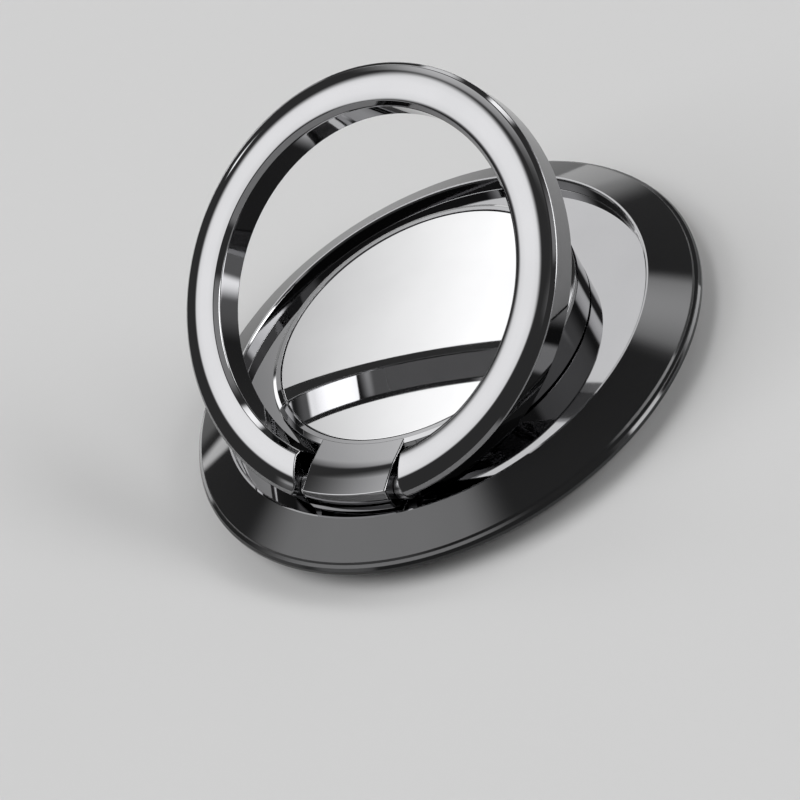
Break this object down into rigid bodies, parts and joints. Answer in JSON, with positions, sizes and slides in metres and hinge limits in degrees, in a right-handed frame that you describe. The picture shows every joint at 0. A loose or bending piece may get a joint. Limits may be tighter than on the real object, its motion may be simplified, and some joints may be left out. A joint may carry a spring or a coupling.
{
  "type": "phone ring holder",
  "caption": "Round phone holder with a bevelled base, a turning boss with a polished disc, and a hinged open ring for a finger, which also props the phone up.",
  "frame": {"origin": "centre of the adhesive face that the holder rests on", "axes": "+Z out of the adhesive face through the boss's turning axis; the ring's hinge is on the -Y side, with its axis along X"},
  "size_m": [0.04, 0.04, 0.0208],
  "materials": {
    "black_chrome": "polished",
    "polished_disc": "polished",
    "steel": "satin",
    "slip_plastic": "matte",
    "adhesive": "matte"
  },
  "bodies": {
    "base": {"base_bezel": "black_chrome", "thrust_washer": "slip_plastic", "back_plate": "steel", "adhesive_pad": "adhesive"},
    "boss": {"turntable": "black_chrome", "mirror_disc": "polished_disc", "disc_spring": "steel", "retainer_plate": "steel", "retainer_screw_1": "steel", "retainer_screw_2": "steel", "retainer_screw_3": "steel", "hinge_washer_left": "steel", "hinge_washer_right": "steel"},
    "ring": {"finger_ring": "black_chrome", "hinge_pin": "steel"}
  },
  "joints": [
    {"name": "boss_turn", "type": "hinge", "parent": "base", "child": "boss", "pos_m": [0, 0, 0.0025], "axis": [0, 0, 1], "continuous": true},
    {"name": "ring_hinge", "type": "hinge", "parent": "boss", "child": "ring", "pos_m": [0, -0.01391, 0.00358], "axis": [1, 0, 0], "range_deg": [-33.5, 56.5]}
  ]
}
